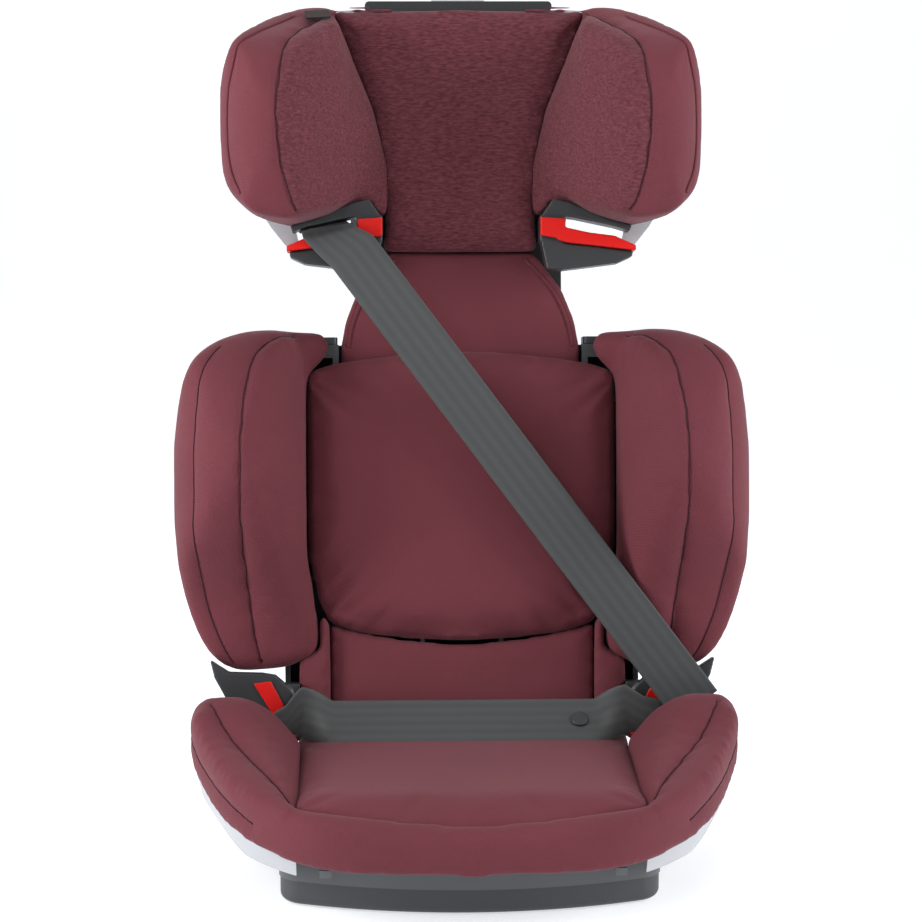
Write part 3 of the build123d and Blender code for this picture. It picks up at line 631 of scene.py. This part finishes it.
# ---------------------------------------------------------------- rounded mouldings
def rounded(node, voxel):
    """A moulded piece with its sharp edges eased."""
    obj = remeshed(node + "_moulding", node, voxel, smoothing=3)
    obj.data.materials.clear()
    obj.data.materials.append(MATERIALS[slot_of[node]])
    smooth_shaded(obj)
    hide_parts(node)
    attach(obj, body_of_node[node])


for stem, fineness in (("belt_guide", 0.0010), ("guide_lip", 0.0010), ("hip_bracket", 0.0010),
                       ("hip_insert", 0.0010), ("wing_shell", 0.0018)):
    for ending in ("_left", "_right"):
        rounded(stem + ending, fineness)


# ---------------------------------------------------------------- springs
def squeezed(node):
    """Copy of a coil spring's mesh with its material, left in the CAD piece's place on no body; it does
    not move.
    """
    obj = new_object(node + "_coil", frame["nodes"][node].data.copy())
    obj.data.materials.clear()
    obj.data.materials.append(MATERIALS[slot_of[node]])
    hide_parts(node)
    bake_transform(obj)


squeezed("handle_springs")
for ending, side in (("_left", 1), ("_right", -1)):
    squeezed("button_spring" + ending)


# ---------------------------------------------------------------- webbing
def web_strip(name, stations, node, capped=(True, True)):
    """Flat webbing through (centre, width direction, face normal) stations, with UVs in mm."""
    half = WEB_WIDTH / 2
    top = WEB_THICK / 2
    shoulder = top * 0.85
    cell = (WEB_WIDTH - 2 * WEB_MARGIN) / WEB_CELLS
    profile = [(-half, 0.0), (-half + WEB_EDGE, shoulder)]
    profile += [(-half + WEB_MARGIN + i * cell, top) for i in range(WEB_CELLS + 1)]
    profile += [(half - WEB_EDGE, shoulder), (half, 0.0), (half - WEB_EDGE, -shoulder)]
    profile += [(half - WEB_MARGIN - i * cell, -top) for i in range(WEB_CELLS + 1)]
    profile += [(-half + WEB_EDGE, -shoulder)]
    rows = []
    run = 0.0
    previous = None
    for (c0, a0, n0), (c1, a1, n1) in zip(stations, stations[1:]):
        count = max(2, int((c1 - c0).length / WEB_STEP))
        for i in range(count + 1 if c1 is stations[-1][0] else count):
            t = i / count
            centre = c0.lerp(c1, t)
            across = a0.lerp(a1, t).normalized()
            face = n0.lerp(n1, t)
            face = (face - across * face.dot(across)).normalized()
            if previous is not None:
                run += (centre - previous).length
            previous = centre
            rows.append((centre, across, face, run))
    vertices = []
    uvs = []
    for centre, across, face, along in rows:
        for offset, height in profile:
            vertices.append(tuple(centre + across * offset + face * height))
            uvs.append((offset / MM, along / MM))
    size = len(profile)
    faces = [list(range(size))] if capped[0] else []
    for i in range(len(rows) - 1):
        for k in range(size):
            a = i * size + k
            b = i * size + (k + 1) % size
            faces.append([a, a + size, b + size, b])
    if capped[1]:
        faces.append([(len(rows) - 1) * size + k for k in reversed(range(size))])
    mesh = bpy.data.meshes.new(name)
    mesh.from_pydata(vertices, [], faces)
    layer = mesh.uv_layers.new(name="weave")
    for loop in mesh.loops:
        layer.data[loop.index].uv = uvs[loop.vertex_index]
    obj = new_object(name, mesh)
    obj.data.materials.append(MATERIALS["belt_webbing"])
    smooth_shaded(obj)
    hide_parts(node)
    return obj


LAP_UP = Vector((0.0, 36.0, 30.0)).normalized()
LAP_OUT = Vector((0.0, -30.0, 36.0)).normalized()
UP = Vector((0.0, 0.0, 1.0))
FORWARD = Vector((0.0, -1.0, 0.0))
lap_stations = [
    (upright(-212, 50.5, 84), UP, FORWARD),
    (upright(-178, 50.5, 91), UP, FORWARD),
    (upright(-160, 50.5, 102), UP, FORWARD),
    (upright(-152, 50.5, 113), UP, FORWARD),
    (upright(-146, 50.5, 119), UP, FORWARD),
    (upright(-118, 37, 113), LAP_UP, LAP_OUT),
    (upright(0, 36.5, 113), LAP_UP, LAP_OUT),
    (upright(118, 37, 113), LAP_UP, LAP_OUT),
    (upright(146, 50.5, 119), UP, FORWARD),
    (upright(152, 50.5, 115), UP, FORWARD),
    (upright(163, 50.5, 108), UP, FORWARD),
    (upright(181, 50.5, 104), UP, FORWARD),
]
lap_belt = web_strip("lap_belt_webbing", lap_stations, "lap_belt")
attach(lap_belt, "base")

belt_top = leaned(-98, -136.5, 433)
belt_bottom = upright(210, 42.5, 124)
belt_run = (belt_bottom - belt_top).normalized()
belt_face = (FORWARD - belt_run * FORWARD.dot(belt_run)).normalized()
belt_across = belt_run.cross(belt_face)
if belt_across.x > 0:
    belt_across = -belt_across
over_guide = Vector((-0.985, -0.17 * math.sin(LEAN), -0.17 * math.cos(LEAN)))
belt_middle = belt_top.lerp(belt_bottom, 0.8)
upper_stations = [
    (leaned(-158, -4, 506), over_guide, Vector((0.2, -0.6, 0.8))),
    (leaned(-140, -40, 476), over_guide, Vector((0.0, -0.5, 0.85))),
    (leaned(-123, -92, 457), over_guide, Vector((0.0, -0.2, 1.0))),
    (leaned(-120.5, -124, 455.3), over_guide, Vector((0.0, -0.4, 1.0))),
    (leaned(-119, -134, 450), Vector((-0.97, 0.0, -0.24)), FORWARD),
    (belt_top, belt_across, belt_face),
    (belt_middle, belt_across, belt_face),
]
lower_stations = [(belt_middle, belt_across, belt_face), (belt_bottom, belt_across, belt_face)]
belt_upper = web_strip("shoulder_belt_upper", upper_stations, "shoulder_belt", capped=(True, False))
belt_lower = web_strip("shoulder_belt_lower", lower_stations, "shoulder_belt", capped=(False, True))
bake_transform(belt_upper)
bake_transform(belt_lower)


# ---------------------------------------------------------------- studio
def stage_material(name, colour, glow):
    pale = Shader(name, colour, 0.9)
    pale.surface.inputs["Emission Color"].default_value = (0.93, 0.945, 0.975, 1.0)
    pale.surface.inputs["Emission Strength"].default_value = glow
    return pale.material


def build_stage():
    """Pale floor that curves up into a backdrop."""
    profile = [(-FLOOR_REACH, 0.0), (COVE_START, 0.0)]
    for i in range(1, 13):
        turn = math.pi / 2 * i / 12
        profile.append((COVE_START + COVE_RADIUS * math.sin(turn), COVE_RADIUS * (1 - math.cos(turn))))
    profile.append((COVE_START + COVE_RADIUS, WALL_TOP))
    vertices = [(x, y, z) for y, z in profile for x in (-FLOOR_HALF_WIDTH, FLOOR_HALF_WIDTH)]
    faces = [(2 * i, 2 * i + 1, 2 * i + 3, 2 * i + 2) for i in range(len(profile) - 1)]
    mesh = bpy.data.meshes.new("studio_floor")
    mesh.from_pydata(vertices, [], faces)
    floor = new_object("studio_floor", mesh)
    floor.data.materials.append(stage_material("studio_pale", (0.60, 0.61, 0.63), 0.60))
    smooth_shaded(floor)


def softbox(name, place, width, height, power):
    data = bpy.data.lights.new(name, "AREA")
    data.shape = "RECTANGLE"
    data.size = width
    data.size_y = height
    data.energy = power
    lamp = bpy.data.objects.new(name, data)
    lamp.location = place
    lamp.rotation_euler = (Vector(STUDIO_AIM) - Vector(place)).to_track_quat("-Z", "Y").to_euler()
    bpy.context.scene.collection.objects.link(lamp)


build_stage()
softbox("key_softbox", (-1.3, -2.0, 1.9), 1.2, 1.2, 20.0)
softbox("fill_softbox", (1.5, -2.0, 1.7), 1.2, 1.2, 15.0)
softbox("left_edge_softbox", (-1.9, -0.7, 0.9), 0.6, 1.6, 46.0)
softbox("right_edge_softbox", (1.9, -0.7, 0.9), 0.6, 1.6, 38.0)
softbox("top_softbox", (0.0, 0.3, 2.4), 1.4, 1.0, 16.0)

world = bpy.data.worlds.new("studio_world")
world.use_nodes = True
world.node_tree.nodes["Background"].inputs["Color"].default_value = (0.90, 0.92, 0.96, 1.0)
world.node_tree.nodes["Background"].inputs["Strength"].default_value = 0.16
bpy.context.scene.world = world
bpy.context.scene.view_settings.view_transform = "Standard"

away = Vector((math.sin(CAMERA_AZIMUTH) * math.cos(CAMERA_ELEVATION),
               -math.cos(CAMERA_AZIMUTH) * math.cos(CAMERA_ELEVATION),
               math.sin(CAMERA_ELEVATION)))
camera_data = bpy.data.cameras.new("camera")
camera_data.sensor_width = 36.0
camera_data.lens = CAMERA_LENS
camera = bpy.data.objects.new("camera", camera_data)
camera.location = CAMERA_TARGET + away * CAMERA_DISTANCE
camera.rotation_euler = (-away).to_track_quat("-Z", "Y").to_euler()
bpy.context.scene.collection.objects.link(camera)
bpy.context.scene.camera = camera
